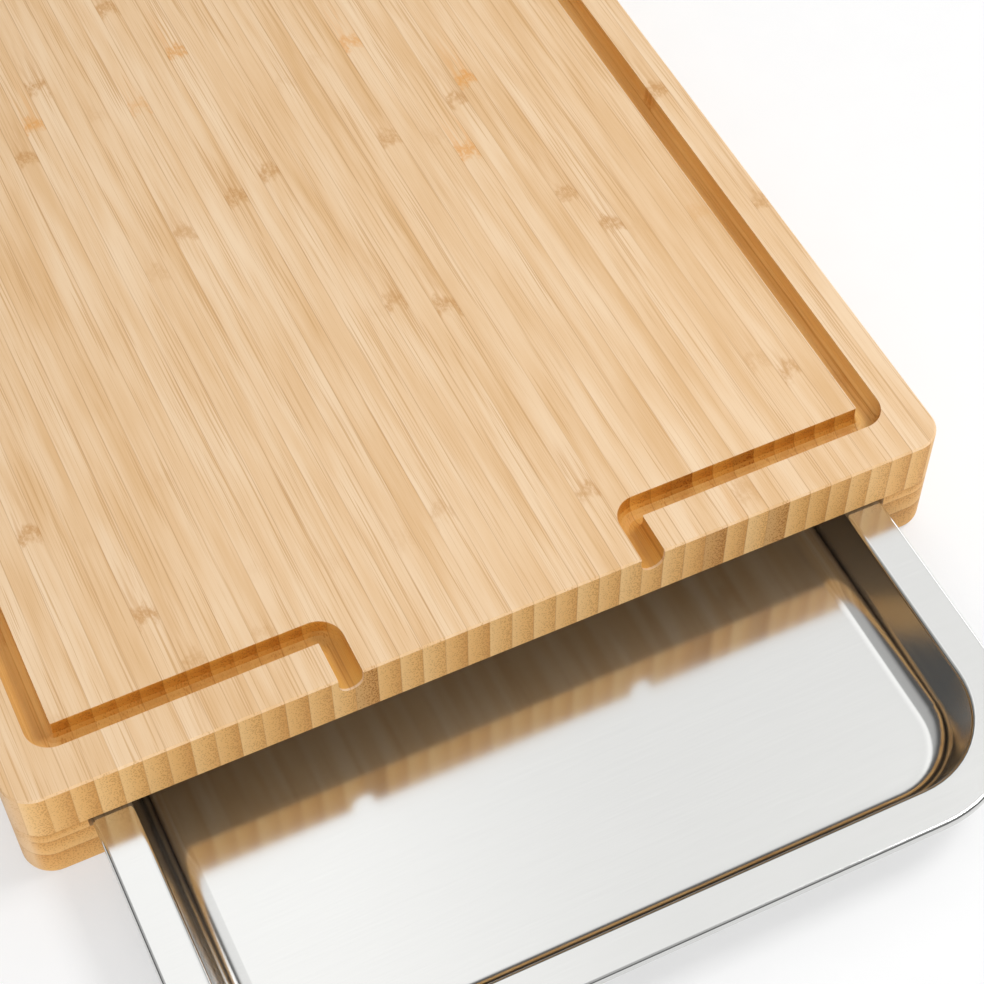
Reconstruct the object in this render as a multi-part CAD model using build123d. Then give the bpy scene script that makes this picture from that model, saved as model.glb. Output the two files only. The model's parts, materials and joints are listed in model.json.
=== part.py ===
from build123d import *
import math
import os

# Bamboo cutting board with one sliding stainless tray, in millimetres.
# X runs across the board, -Y towards the user (the end-grain front), +Z up.
# The origin is the middle of the footprint on the table, with the tray drawn out as at rest.

# ---- board ----
board_width = 300.0          # across the grain
board_depth = 390.0          # along the grain
corner_radius = 9.6          # upright corners, in plan
top_thickness = 19.2         # the plate of glued strips
slot_ply_thickness = 3.9     # spacer that leaves the slot for the tray's rim
middle_ply_thickness = 7.3   # its top face is the ledge that carries the tray
lower_ply_thickness = 11.6
top_edge_chamfer = 0.6       # eased edge round the cutting face
base_edge_radius = 2.5       # rounded lower outside edge

# ---- bamboo strips in the plate ----
strip_width = 7.1
left_trim = 3.9              # how much of the first strip was trimmed away

# ---- juice groove ----
groove_width = 7.7
groove_depth = 7.0
groove_side_margin = 11.8    # board's side to the groove's outer wall
groove_end_margin = 14.3     # board's front or back to the groove's outer wall
spout_offset = 44.6          # middle of the board to the inner wall of each spout
groove_bend_radius = 4.2     # centre line, at each corner
groove_flats = 8             # narrow flats that make up the round nose of the groove

# ---- tray ----
sheet = 0.8                  # steel thickness
tray_depth = 18.0            # top of the rim down to the inner floor
lip_height = 2.7             # turned-down outer edge
lip_bend_radius = 1.2        # outside of the lip's bend
rim_flat = 10.0              # level part of the rim
wall_top_radius = 1.5        # bend from rim to wall, on the upper face
wall_draft = 17.0            # wall's lean from upright, in degrees
floor_radius = 8.0           # bend from wall to floor, on the upper face
tray_corner_radius = 42.0    # outermost corner, in plan

# ---- fits ----
slot_margin = 19.8           # board's side or back to the slot's end
tray_play = 1.0              # tray's edge to the slot's end, each side and at the back
lip_seat_gap = 0.25          # lip's lower edge above the ledge
ledge_width = 10.0           # how far the ledge reaches in from the slot's end
tray_drawn_out = 105.5       # lip ahead of the board's front, as at rest

# ---- derived ----
ledge_z = lower_ply_thickness + middle_ply_thickness
plate_z = ledge_z + slot_ply_thickness
board_height = plate_z + top_thickness
board_centre_y = tray_drawn_out / 2
front_y = board_centre_y - board_depth / 2
back_y = board_centre_y + board_depth / 2
slot_half_width = board_width / 2 - slot_margin
slot_back_y = back_y - slot_margin
rail_half_gap = slot_half_width - ledge_width
rail_back_y = slot_back_y - ledge_width
tray_width = 2 * (slot_half_width - tray_play)
tray_length = board_depth - slot_margin - tray_play
tray_centre_y = front_y - tray_drawn_out + tray_length / 2
rim_top_z = ledge_z + lip_seat_gap + lip_height
overcut = 5.0                # how far a cutter runs past the face that it cuts


def box_between(low, high):
    """An upright box from its lowest to its highest corner."""
    size = [b - a for a, b in zip(low, high)]
    middle = [(a + b) / 2 for a, b in zip(low, high)]
    return Pos(*middle) * Box(*size)


def outline_block(low_z, high_z):
    """The board's rounded outline between two heights."""
    outline = Pos(0, board_centre_y, low_z) * RectangleRounded(board_width, board_depth, corner_radius)
    return extrude(outline, amount=high_z - low_z)


# ---- top plate ----
def groove_cutter():
    """A round-nosed channel from one spout, round the board, to the other spout."""
    nose_radius = groove_width / 2
    side_x = board_width / 2 - groove_side_margin - nose_radius
    spout_x = spout_offset + nose_radius
    front_run_y = front_y + groove_end_margin + nose_radius
    back_run_y = back_y - groove_end_margin - nose_radius
    start_y = front_y - overcut
    corners = [
        (-spout_x, start_y),
        (-spout_x, front_run_y),
        (-side_x, front_run_y),
        (-side_x, back_run_y),
        (side_x, back_run_y),
        (side_x, front_run_y),
        (spout_x, front_run_y),
        (spout_x, start_y),
    ]
    route = FilletPolyline(*[(x, y, board_height) for x, y in corners], radius=groove_bend_radius)
    # on this plane the local Y runs up, out of the board
    across = Plane(origin=route @ 0, x_dir=(-1, 0, 0), z_dir=(0, 1, 0))
    nose_top = nose_radius - groove_depth
    turns = [math.pi * step / groove_flats for step in range(groove_flats + 1)]
    nose = [(nose_radius * math.cos(turn), nose_top - nose_radius * math.sin(turn)) for turn in turns]
    edges = Polyline((nose_radius, overcut), *nose, (-nose_radius, overcut), close=True)
    return sweep(across * make_face(edges), path=route)


def top_plate():
    """The whole plate with its eased edge and its groove, before it is told apart into strips."""
    plate = outline_block(plate_z, board_height)
    plate = chamfer(plate.faces().sort_by(Axis.Z)[-1].outer_wire().edges(), top_edge_chamfer)
    return plate - groove_cutter()


def top_strips():
    """The plate's strips, left to right, each as tall and long as the plate."""
    plate = top_plate()
    blank_left = -board_width / 2 - left_trim
    count = math.ceil((board_width + left_trim) / strip_width)
    strips = {}
    for index in range(count):
        strip_left = blank_left + index * strip_width
        low = (strip_left, front_y - overcut, plate_z - overcut)
        high = (strip_left + strip_width, back_y + overcut, board_height + overcut)
        strips[f"top_strip_{index + 1:02d}"] = plate & box_between(low, high)
    return strips


# ---- underframe ----
def underframe():
    """The frame under the plate, open to the front, with the ledge that carries the tray's rim."""
    block = outline_block(0, plate_z)
    block = fillet(block.faces().sort_by(Axis.Z)[0].outer_wire().edges(), base_edge_radius)
    well = box_between(
        (-rail_half_gap, front_y - overcut, -overcut),
        (rail_half_gap, rail_back_y, plate_z + overcut),
    )
    slot = box_between(
        (-slot_half_width, front_y - overcut, ledge_z),
        (slot_half_width, slot_back_y, plate_z + overcut),
    )
    return block - well - slot


def frame_plies():
    """Each layer of the frame as a left rail, a right rail and a back rail between them."""
    frame = underframe()
    layers = {
        "lower_ply": (0, lower_ply_thickness, rail_half_gap),
        "middle_ply": (lower_ply_thickness, ledge_z, rail_half_gap),
        "slot_ply": (ledge_z, plate_z, slot_half_width),
    }
    outer_x = board_width / 2 + overcut
    plies = {}
    for name, (low_z, high_z, gap) in layers.items():
        spans = {"left": (-outer_x, -gap), "back": (-gap, gap), "right": (gap, outer_x)}
        for side, (low_x, high_x) in spans.items():
            low = (low_x, front_y - overcut, low_z)
            high = (high_x, back_y + overcut, high_z)
            plies[f"{name}_{side}"] = frame & box_between(low, high)
    return plies


# ---- tray ----
def tray_section():
    """The sheet from its lip to the start of the flat floor, and where that floor starts.

    X is the distance in from the tray's outermost edge and Y the height above the table.
    """
    lean = math.radians(wall_draft)
    out_of_wall = Vector(math.cos(lean), math.sin(lean))
    down_wall = Vector(math.sin(lean), -math.cos(lean))
    floor_z = rim_top_z - tray_depth
    lip_centre = Vector(lip_bend_radius, rim_top_z - lip_bend_radius)
    bend_centre = Vector(lip_bend_radius + rim_flat, rim_top_z - wall_top_radius)
    # the straight part of the wall takes up the depth that the two bends leave
    bends_drop = (wall_top_radius + floor_radius) * (1 - math.sin(lean))
    wall_length = (tray_depth - bends_drop) / math.cos(lean)
    wall_top = bend_centre + out_of_wall * wall_top_radius
    wall_foot = wall_top + down_wall * wall_length
    floor_centre = wall_foot + out_of_wall * floor_radius
    floor_start = floor_centre.X

    def off_wall(point, inset):
        """A point on the wall's upper face, moved into the sheet."""
        return point - out_of_wall * inset

    upper = [
        Line((0, rim_top_z - lip_height), (0, lip_centre.Y)),
        RadiusArc((0, lip_centre.Y), (lip_centre.X, rim_top_z), lip_bend_radius),
        Line((lip_centre.X, rim_top_z), (bend_centre.X, rim_top_z)),
        RadiusArc((bend_centre.X, rim_top_z), wall_top, wall_top_radius),
        Line(wall_top, wall_foot),
        RadiusArc(wall_foot, (floor_start, floor_z), -floor_radius),
    ]
    # under the sheet the two tight bends close up to plain corners
    underside_z = rim_top_z - sheet
    wall_back = off_wall(wall_top, sheet)
    rim_corner = wall_back + down_wall * ((underside_z - wall_back.Y) / down_wall.Y)
    foot_back = off_wall(wall_foot, sheet)
    lower = [
        Polyline((sheet, rim_top_z - lip_height), (sheet, underside_z), rim_corner, foot_back),
        RadiusArc(foot_back, (floor_start, floor_z - sheet), -(floor_radius + sheet)),
    ]
    ends = [
        Line(upper[0] @ 0, lower[0] @ 0),
        Line(upper[-1] @ 1, lower[-1] @ 1),
    ]
    return make_face(Curve() + upper + lower + ends), floor_start, floor_z


def tray():
    """The pressed tray: the section carried round the outline, closed by the flat floor."""
    section, floor_start, floor_z = tray_section()
    outline = Pos(0, tray_centre_y) * RectangleRounded(tray_width, tray_length, tray_corner_radius)
    route = outline.wire()
    forward = route % 0
    inward = Plane.XY.z_dir.cross(forward)
    if (Vector(0, tray_centre_y) - (route @ 0)).dot(inward) < 0:
        inward = -inward
    across = Plane(origin=route @ 0, x_dir=inward, z_dir=inward.cross(Vector(0, 0, 1)))
    rim_and_wall = sweep(across * section, path=route)
    floor_outline = Pos(0, tray_centre_y, floor_z) * RectangleRounded(
        tray_width - 2 * floor_start,
        tray_length - 2 * floor_start,
        tray_corner_radius - floor_start,
    )
    return rim_and_wall + extrude(floor_outline, amount=-sheet)


def build_parts():
    """Every piece of the product, by name."""
    pieces = {}
    pieces.update(top_strips())
    pieces.update(frame_plies())
    pieces["tray"] = tray()
    return pieces


os.makedirs("parts", exist_ok=True)
for piece_name, piece in build_parts().items():
    export_step(piece, f"parts/{piece_name}.step")
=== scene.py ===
import json
import bpy
from mathutils import Matrix, Vector

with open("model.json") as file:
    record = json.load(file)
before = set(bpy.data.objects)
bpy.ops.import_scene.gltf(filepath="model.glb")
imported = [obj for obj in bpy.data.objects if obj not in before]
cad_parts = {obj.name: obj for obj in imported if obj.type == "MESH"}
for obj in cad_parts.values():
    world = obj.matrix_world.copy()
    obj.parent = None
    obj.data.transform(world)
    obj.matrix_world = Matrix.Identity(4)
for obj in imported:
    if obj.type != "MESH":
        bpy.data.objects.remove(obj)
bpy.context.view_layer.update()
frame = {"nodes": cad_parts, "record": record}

# the CAD model's own sizes, in millimetres, which the materials need
BOARD_FRONT = -142.25
BOARD_BACK = 247.75
BOARD_TOP = 42.0
STRIP_START = -153.9         # left side of the first strip before it was trimmed
STRIP_WIDTH = 7.1
DENSE_STRIPS = (16, 32, 35)  # strips whose end grain is plainly darker, counted from the left
LOWER_PLY = 11.6             # thickness of each layer of the frame, from the table up
MIDDLE_PLY = 7.3
SLOT_PLY = 3.9
GROOVE_OUTER = 138.2         # middle of the board to the outer and inner walls of the side runs
GROOVE_INNER = 130.5
GROOVE_FLOOR = 35.0          # height of the groove's lowest line


# ---------------------------------------------------------------- node graphs
class Graph:
    """Short calls that build a node graph. An input is a number, a tuple or another node's socket."""

    def __init__(self, tree):
        self.tree = tree

    def node(self, kind, inputs=(), **settings):
        made = self.tree.nodes.new(kind)
        for key, value in settings.items():
            setattr(made, key, value)
        for key, value in dict(inputs).items():
            self.put(made.inputs[key], value)
        return made

    def put(self, socket, value):
        if isinstance(value, bpy.types.NodeSocket):
            self.tree.links.new(value, socket)
        else:
            socket.default_value = value

    def math(self, operation, a, b=0.0, c=0.0):
        return self.node("ShaderNodeMath", {0: a, 1: b, 2: c}, operation=operation).outputs[0]

    def add(self, a, b):
        return self.math("ADD", a, b)

    def sub(self, a, b):
        return self.math("SUBTRACT", a, b)

    def mul(self, a, b):
        return self.math("MULTIPLY", a, b)

    def smooth(self, value, low, high, to_low=0.0, to_high=1.0):
        """An eased step from one value to another; low may be above high."""
        made = self.node(
            "ShaderNodeMapRange",
            {"Value": value, "From Min": low, "From Max": high, "To Min": to_low, "To Max": to_high},
            interpolation_type="SMOOTHSTEP",
        )
        return made.outputs["Result"]

    def join(self, x, y, z):
        return self.node("ShaderNodeCombineXYZ", {0: x, 1: y, 2: z}).outputs[0]

    def split(self, vector):
        return self.node("ShaderNodeSeparateXYZ", {0: vector}).outputs

    def noise(self, vector, scale=1.0, detail=2.0, roughness=0.5):
        made = self.node(
            "ShaderNodeTexNoise",
            {"Vector": vector, "Scale": scale, "Detail": detail, "Roughness": roughness},
        )
        return made.outputs["Fac"]

    def random(self, value):
        """Three random numbers for each value."""
        made = self.node("ShaderNodeTexWhiteNoise", {"W": value}, noise_dimensions="1D")
        return self.split(made.outputs["Color"])

    def cells(self, vector):
        """The distance to the nearest of many scattered points, about one to each unit."""
        made = self.node(
            "ShaderNodeTexVoronoi", {"Vector": vector, "Scale": 1.0, "Randomness": 1.0}, feature="F1"
        )
        return made.outputs["Distance"]

    def mix(self, factor, a, b, blend="MIX"):
        made = self.node("ShaderNodeMix", data_type="RGBA", blend_type=blend)
        # inputs 6 and 7 and output 2 are the node's colour sockets
        self.put(made.inputs[0], factor)
        self.put(made.inputs[6], a)
        self.put(made.inputs[7], b)
        return made.outputs[2]

    def ramp(self, factor, *stops):
        made = self.node("ShaderNodeValToRGB", {"Fac": factor})
        elements = made.color_ramp.elements
        while len(elements) < len(stops):
            elements.new(0.5)
        for element, (place, colour) in zip(elements, stops):
            element.position = place
            element.color = colour
        return made.outputs["Color"]


def srgb(r, g, b):
    """A colour given as it looks on screen, 0 to 255, for a shader's socket."""
    def linear(c):
        c = c / 255
        return c / 12.92 if c <= 0.04045 else ((c + 0.055) / 1.055) ** 2.4
    return (linear(r), linear(g), linear(b), 1.0)


def material(name):
    """An empty principled material: (material, graph, shader)."""
    made = bpy.data.materials.new(name)
    made.use_nodes = True
    tree = made.node_tree
    shader = next(n for n in tree.nodes if n.type == "BSDF_PRINCIPLED")
    return made, Graph(tree), shader


def part_space(g):
    """The point in the part's frame, as x, y and z in millimetres, and its normal."""
    source = g.node("ShaderNodeTexCoord")
    scaled = g.node(
        "ShaderNodeVectorMath",
        {0: source.outputs["Object"], 1: (1000, 1000, 1000)},
        operation="MULTIPLY",
    )
    return g.split(scaled.outputs[0]), source.outputs["Normal"]


# -------------------------------------------------------------------- bamboo
def grain_space(g, crosswise=False):
    """Millimetres across the grain, along it and up, and how squarely the face looks along the grain."""
    (x, y, z), normal = part_space(g)
    nx, ny, _ = g.split(normal)
    if crosswise:
        x, y, nx, ny = y, x, ny, nx
    return x, y, z, g.smooth(g.math("ABSOLUTE", ny), 0.62, 0.92)


def bundles_of_fibre(g, across, along, height, lane, within, end):
    """Bundles along the grain: streaks that gather in patches on the long faces, dots on the ends."""
    sway = g.mul(g.sub(g.noise(g.join(lane, g.mul(along, 0.02), 3.0), detail=1.0), 0.5), 0.9)
    place = g.add(g.add(across, sway), lane)
    far = g.cells(g.join(g.mul(place, 1.55), g.mul(along, 0.018), g.mul(height, 1.35)))
    patch = g.noise(g.join(g.mul(place, 0.28), g.mul(along, 0.014), g.mul(height, 0.2)), detail=2.0)
    streak_reach = g.smooth(g.add(patch, g.mul(within, 0.16)), 0.42, 0.80, 0.10, 0.52)
    dot_reach = g.smooth(within, 0.0, 1.0, 0.34, 0.56)
    reach = g.add(streak_reach, g.mul(end, g.sub(dot_reach, streak_reach)))
    bundle = g.smooth(g.sub(far, reach), 0.0, -0.18)
    strand = g.join(g.mul(place, 3.1), g.mul(along, 0.022), g.mul(height, 2.8))
    hair = g.noise(strand, detail=3.0, roughness=0.6)
    return bundle, hair


def knuckles(g, across, along, lane, within, random):
    """Where each cane had its joints: a short mottled band, and streaks that run on from one side."""
    _, shift, spacing = random
    run = g.add(190.0, g.mul(spacing, 90.0))  # millimetres from one joint to the next
    step = g.math("DIVIDE", g.add(along, g.add(1000.0, g.mul(shift, 300.0))), run)
    bow = g.mul(g.math("POWER", g.sub(within, 0.5), 2.0), 8.0)
    rough = g.noise(g.join(g.mul(across, 0.40), g.mul(along, 0.16), lane), detail=4.0)
    ragged = g.mul(g.sub(rough, 0.5), 13.0)
    off = g.add(g.mul(g.sub(g.math("FRACT", step), 0.5), run), g.add(bow, ragged))
    own = g.random(g.add(lane, g.math("FLOOR", step)))
    mottle = g.noise(
        g.join(g.mul(across, 1.1), g.mul(along, 0.55), lane), detail=4.0, roughness=0.7
    )
    streaks = g.noise(g.join(g.mul(across, 1.1), g.mul(along, 0.05), lane), detail=2.0)
    strength = g.smooth(own[0], 0.05, 0.75, 0.12, 1.0)
    band = g.smooth(g.math("ABSOLUTE", off), 4.8, 1.0)
    spot = g.mul(g.mul(band, g.smooth(mottle, 0.34, 0.60, 0.22, 1.0)), strength)
    after = g.mul(g.smooth(off, -2.0, 2.0), g.smooth(off, 34.0, 3.0))
    tail = g.mul(g.mul(after, g.smooth(streaks, 0.42, 0.62)), strength)
    return spot, tail, own[1]


def bamboo(g, space, within, lane, tones):
    """Long-grain colour on the sides and top, speckled end grain where a face looks along the grain.

    within runs from 0 to 1 across one strip or layer, and lane is a number of its own for each.
    """
    across, along, height, end = space
    random = g.random(lane)
    bundle, hair = bundles_of_fibre(g, across, along, height, lane, within, end)

    drift = g.join(g.add(g.mul(across, 0.16), lane), g.mul(along, 0.016), 21.0)
    cloud = g.smooth(g.noise(drift, detail=3.0), 0.25, 0.75, 0.06, 0.58)
    shade = g.add(g.mul(random[0], 0.26), g.add(g.mul(within, 0.10), cloud))
    long_grain = g.ramp(shade, (0.15, tones["light"]), (0.5, tones["middle"]), (0.85, tones["dark"]))
    long_grain = g.mix(g.mul(bundle, 0.58), long_grain, tones["fibre"])
    long_grain = g.mix(g.smooth(hair, 0.50, 0.74, 0.0, 0.46), long_grain, tones["fibre"])
    long_grain = g.mix(g.smooth(hair, 0.46, 0.28, 0.0, 0.18), long_grain, tones["light"])

    spot, tail, hue = knuckles(g, across, along, lane, within, random)
    warm = g.mix(g.smooth(hue, 0.72, 0.78), tones["knuckle"], tones["amber"])
    long_grain = g.mix(g.mul(tail, 0.34), long_grain, warm)
    long_grain = g.mix(g.mul(spot, 0.72), long_grain, warm)

    depth = g.add(g.mul(within, 0.62), g.mul(random[1], 0.38))
    end_stops = (0.1, tones["end_light"]), (0.55, tones["end_middle"]), (0.95, tones["end_dark"])
    end_grain = g.mix(g.mul(bundle, 0.46), g.ramp(depth, *end_stops), tones["dot"])
    return g.mix(end, long_grain, end_grain), bundle, hair


def finish_bamboo(g, shader, colour, bundle, hair):
    """The oiled, finely sanded surface."""
    g.put(shader.inputs["Base Color"], colour)
    g.put(shader.inputs["Roughness"], g.smooth(hair, 0.2, 0.8, 0.46, 0.62))
    shader.inputs["Specular IOR Level"].default_value = 0.30
    height = g.sub(g.mul(hair, 0.6), g.mul(bundle, 0.5))
    bump = g.node("ShaderNodeBump", {"Strength": 0.12, "Distance": 0.0002, "Height": height})
    g.put(shader.inputs["Normal"], bump.outputs[0])


BAMBOO = {
    "light": srgb(238, 209, 173),
    "middle": srgb(231, 196, 154),
    "dark": srgb(221, 180, 131),
    "fibre": srgb(200, 153, 98),
    "knuckle": srgb(196, 143, 82),
    "amber": srgb(222, 154, 72),
    "end_light": srgb(236, 194, 132),
    "end_middle": srgb(226, 175, 106),
    "end_dark": srgb(208, 151, 80),
    "dot": srgb(168, 114, 52),
}
DENSE_END = srgb(160, 104, 38)
STRIP_GLUE = srgb(178, 128, 76)
PLY_GLUE = srgb(168, 112, 58)
PLY_TINT = srgb(240, 216, 160)
# painted shade: the wood in the groove is multiplied by one of these darker colours
GROOVE_SHADE_ACROSS = srgb(236, 208, 136)  # front and back runs, spouts and every end-grain face
GROOVE_SHADE_ALONG = srgb(248, 231, 178)   # side runs, which follow the grain


def seam(g, within, pitch, along, lane):
    """A thin glue line that comes and goes along the joint between pieces pitch millimetres wide."""
    edge = g.mul(g.math("MINIMUM", within, g.sub(1.0, within)), pitch)
    patches = g.noise(g.join(lane, g.mul(along, 0.03), 5.0), detail=2.0)
    broken = g.smooth(patches, 0.35, 0.65, 0.25, 1.0)
    return g.mul(g.smooth(edge, 0.26, 0.06), broken)


def in_groove(g, x, y, z):
    """1 on the walls and floor of the juice groove and 0 on the board's outer faces."""
    between_sides = g.smooth(g.math("ABSOLUTE", x), GROOVE_OUTER + 1.0, GROOVE_OUTER + 0.7)
    between_ends = g.mul(
        g.smooth(y, BOARD_FRONT + 0.7, BOARD_FRONT + 0.9),
        g.smooth(y, BOARD_BACK - 0.7, BOARD_BACK - 0.9),
    )
    below_top = g.mul(
        g.smooth(z, BOARD_TOP - 0.05, BOARD_TOP - 0.5),
        g.smooth(z, GROOVE_FLOOR - 1.0, GROOVE_FLOOR - 0.4),
    )
    return g.mul(g.mul(between_sides, between_ends), below_top)


def bamboo_strip():
    """The top plate: strips on edge, each running from the cane's pale inside to its dense outside."""
    made, g, shader = material("bamboo_strip")
    x, y, z, end = grain_space(g)
    place = g.math("DIVIDE", g.sub(x, STRIP_START), STRIP_WIDTH)
    lane = g.mul(g.add(g.math("FLOOR", place), 0.5), 37.0)
    within = g.math("FRACT", place)
    colour, bundle, hair = bamboo(g, (x, y, z, end), within, lane, BAMBOO)
    number = g.add(g.math("FLOOR", place), 1.0)
    dense = 0.0
    for strip in DENSE_STRIPS:
        dense = g.add(dense, g.math("COMPARE", number, float(strip), 0.5))
    dense_share = g.mul(g.mul(dense, end), g.add(g.mul(bundle, 0.5), 0.42))
    colour = g.mix(dense_share, colour, DENSE_END)
    colour = g.mix(g.mul(seam(g, within, STRIP_WIDTH, y, lane), 0.55), colour, STRIP_GLUE)

    # painted shade: inside the groove the wood is darkened, and most of all across the grain
    on_side_run = g.smooth(g.math("ABSOLUTE", x), GROOVE_INNER - 1.5, GROOVE_INNER + 0.5)
    groove_shade_tone = g.mix(g.mul(on_side_run, g.sub(1.0, end)), GROOVE_SHADE_ACROSS, GROOVE_SHADE_ALONG)
    # painted shade multiplied over the groove's walls and floor
    colour = g.mix(in_groove(g, x, y, z), colour, groove_shade_tone, "MULTIPLY")
    finish_bamboo(g, shader, colour, bundle, hair)
    return made


def bamboo_ply(name, crosswise):
    """The frame's layers, each a flat board whose tone deepens from its lower to its upper face."""
    made, g, shader = material(name)
    across, along, z, end = grain_space(g, crosswise)
    over_lower = g.math("GREATER_THAN", z, LOWER_PLY)
    over_middle = g.math("GREATER_THAN", z, LOWER_PLY + MIDDLE_PLY)
    foot = g.add(g.mul(over_lower, LOWER_PLY), g.mul(over_middle, MIDDLE_PLY))
    thinner = g.add(
        g.mul(over_lower, LOWER_PLY - MIDDLE_PLY),
        g.mul(over_middle, MIDDLE_PLY - SLOT_PLY),
    )
    within = g.math("DIVIDE", g.sub(z, foot), g.sub(LOWER_PLY, thinner))
    lane = g.add(g.mul(over_lower, 61.0), g.add(g.mul(over_middle, 83.0), 17.0))
    colour, bundle, hair = bamboo(g, (across, along, z, end), within, lane, BAMBOO)
    colour = g.mix(0.30, colour, PLY_TINT, "MULTIPLY")
    middling_ply = 7.0
    colour = g.mix(g.mul(seam(g, within, middling_ply, along, lane), 0.45), colour, PLY_GLUE)
    finish_bamboo(g, shader, colour, bundle, hair)
    return made


# --------------------------------------------------------------------- steel
def tray_steel():
    """Satin stainless, finely brushed across the tray."""
    made, g, shader = material("tray_steel")
    (x, y, z), _ = part_space(g)
    scratches = g.join(g.mul(x, 0.06), g.mul(y, 6.0), g.mul(z, 2.0))
    brush = g.noise(scratches, detail=3.0, roughness=0.6)
    cloud = g.noise(g.join(g.mul(x, 0.02), g.mul(y, 0.02), z))
    tone = g.mix(g.smooth(brush, 0.3, 0.7), srgb(212, 212, 210), srgb(215, 215, 213))
    g.put(shader.inputs["Base Color"], tone)
    shader.inputs["Metallic"].default_value = 1.0
    rough = g.add(g.smooth(brush, 0.25, 0.75, 0.13, 0.15), g.smooth(cloud, 0.3, 0.7, 0.0, 0.02))
    g.put(shader.inputs["Roughness"], rough)
    return made


FINISHES = {
    "bamboo_strip": bamboo_strip(),
    "bamboo_ply": bamboo_ply("bamboo_ply", False),
    "tray_steel": tray_steel(),
}
BACK_PLY = bamboo_ply("bamboo_ply_back", True)  # the back rail's grain runs across the board
for part in frame["record"]["subparts"]:
    mesh = frame["nodes"][part["node"]].data
    mesh.materials.clear()
    is_back = part["node"].endswith("_ply_back")
    mesh.materials.append(BACK_PLY if is_back else FINISHES[part["material_slot"]])


# -------------------------------------------------------------- floor, light
def floor_sheet():
    """A plain pale tabletop, 8 m square."""
    mesh = bpy.data.meshes.new("floor")
    half = 4.0
    corners = [(-half, -half, 0), (half, -half, 0), (half, half, 0), (-half, half, 0)]
    mesh.from_pydata(corners, [], [(0, 1, 2, 3)])
    made = bpy.data.objects.new("floor", mesh)
    bpy.context.scene.collection.objects.link(made)
    paper, g, shader = material("floor_paper")
    source = g.node("ShaderNodeTexCoord")
    fleck = g.noise(source.outputs["Object"], 60.0)
    # where it is looked at, half of the sheet's white is its own near the object and all of it far away
    paths = g.node("ShaderNodeLightPath").outputs
    mirrored = g.add(paths["Is Glossy Ray"], paths["Is Transmission Ray"])
    looked_at = g.math("MINIMUM", g.add(paths["Is Camera Ray"], mirrored), 1.0)
    far = g.node("ShaderNodeVectorMath", {0: source.outputs["Object"]}, operation="LENGTH")
    share = g.mul(looked_at, g.smooth(far.outputs["Value"], 0.4, 1.3, 0.5, 1.0))
    paper_white = g.mix(fleck, (0.93, 0.93, 0.93, 1), (0.95, 0.95, 0.95, 1))
    g.put(shader.inputs["Base Color"], g.mix(share, paper_white, (0.0, 0.0, 0.0, 1)))
    g.put(shader.inputs["Emission Color"], paper_white)
    g.put(shader.inputs["Emission Strength"], share)
    shader.inputs["Roughness"].default_value = 0.9
    shader.inputs["Specular IOR Level"].default_value = 0.1
    mesh.materials.append(paper)


def softbox(name, place, size, power):
    """A square lamp, in metres and watts, that looks at the middle of the object."""
    light = bpy.data.lights.new(name, "AREA")
    light.shape = "SQUARE"
    light.size = size
    light.energy = power
    made = bpy.data.objects.new(name, light)
    made.location = place
    made.rotation_euler = (-Vector(place)).to_track_quat("-Z", "Y").to_euler()
    bpy.context.scene.collection.objects.link(made)


def studio_world():
    """A room: pale walls low down, a dim band above them, a soft ceiling and one bright panel."""
    world = bpy.data.worlds.new("studio")
    world.use_nodes = True
    bpy.context.scene.world = world
    g = Graph(world.node_tree)
    background = next(n for n in world.node_tree.nodes if n.type == "BACKGROUND")
    way = g.node("ShaderNodeTexCoord").outputs["Generated"]
    x, _, up = g.split(way)
    walls = g.smooth(up, 0.08, 0.22, 0.93, 0.12)
    room = g.mix(g.smooth(up, 0.50, 0.78), walls, (0.58, 0.58, 0.58, 1))
    # the panel hangs behind the object, where the flat steel mirrors it, and is brighter at its left
    panel = (0.25, 0.45, 0.86)
    towards = g.node("ShaderNodeVectorMath", {0: way, 1: panel}, operation="DOT_PRODUCT")
    within = g.mul(g.smooth(towards.outputs["Value"], 0.87, 0.95), g.smooth(x, -0.10, 0.0))
    g.put(background.inputs["Color"], g.mix(within, room, g.smooth(x, 0.10, 0.27, 1.40, 1.12)))
    background.inputs["Strength"].default_value = 1.0


floor_sheet()
studio_world()
softbox("key", (0.90, -0.20, 1.31), 0.5, 10.6)
softbox("side", (1.48, 0.20, 0.50), 0.8, 4.0)
softbox("fill", (-0.58, -1.33, 0.68), 1.2, 10.8)

# -------------------------------------------------------------------- camera
# solved from the photograph's edges, with the board 300 mm wide
lens = bpy.data.cameras.new("camera")
lens.sensor_width = 36.0
lens.lens = 82.153
lens.shift_y = 0.0691
lens.clip_start = 0.01
camera = bpy.data.objects.new("camera", lens)
camera.matrix_world = Matrix((
    (0.90284235, 0.35443712, -0.24341328, -0.15543332),
    (-0.42994291, 0.73763142, -0.52062365, -0.46620015),
    (-0.00497906, 0.57469489, 0.81835261, 0.58121019),
    (0.0, 0.0, 0.0, 1.0),
))
bpy.context.scene.collection.objects.link(camera)
bpy.context.scene.camera = camera

bpy.context.scene.view_settings.view_transform = "Standard"
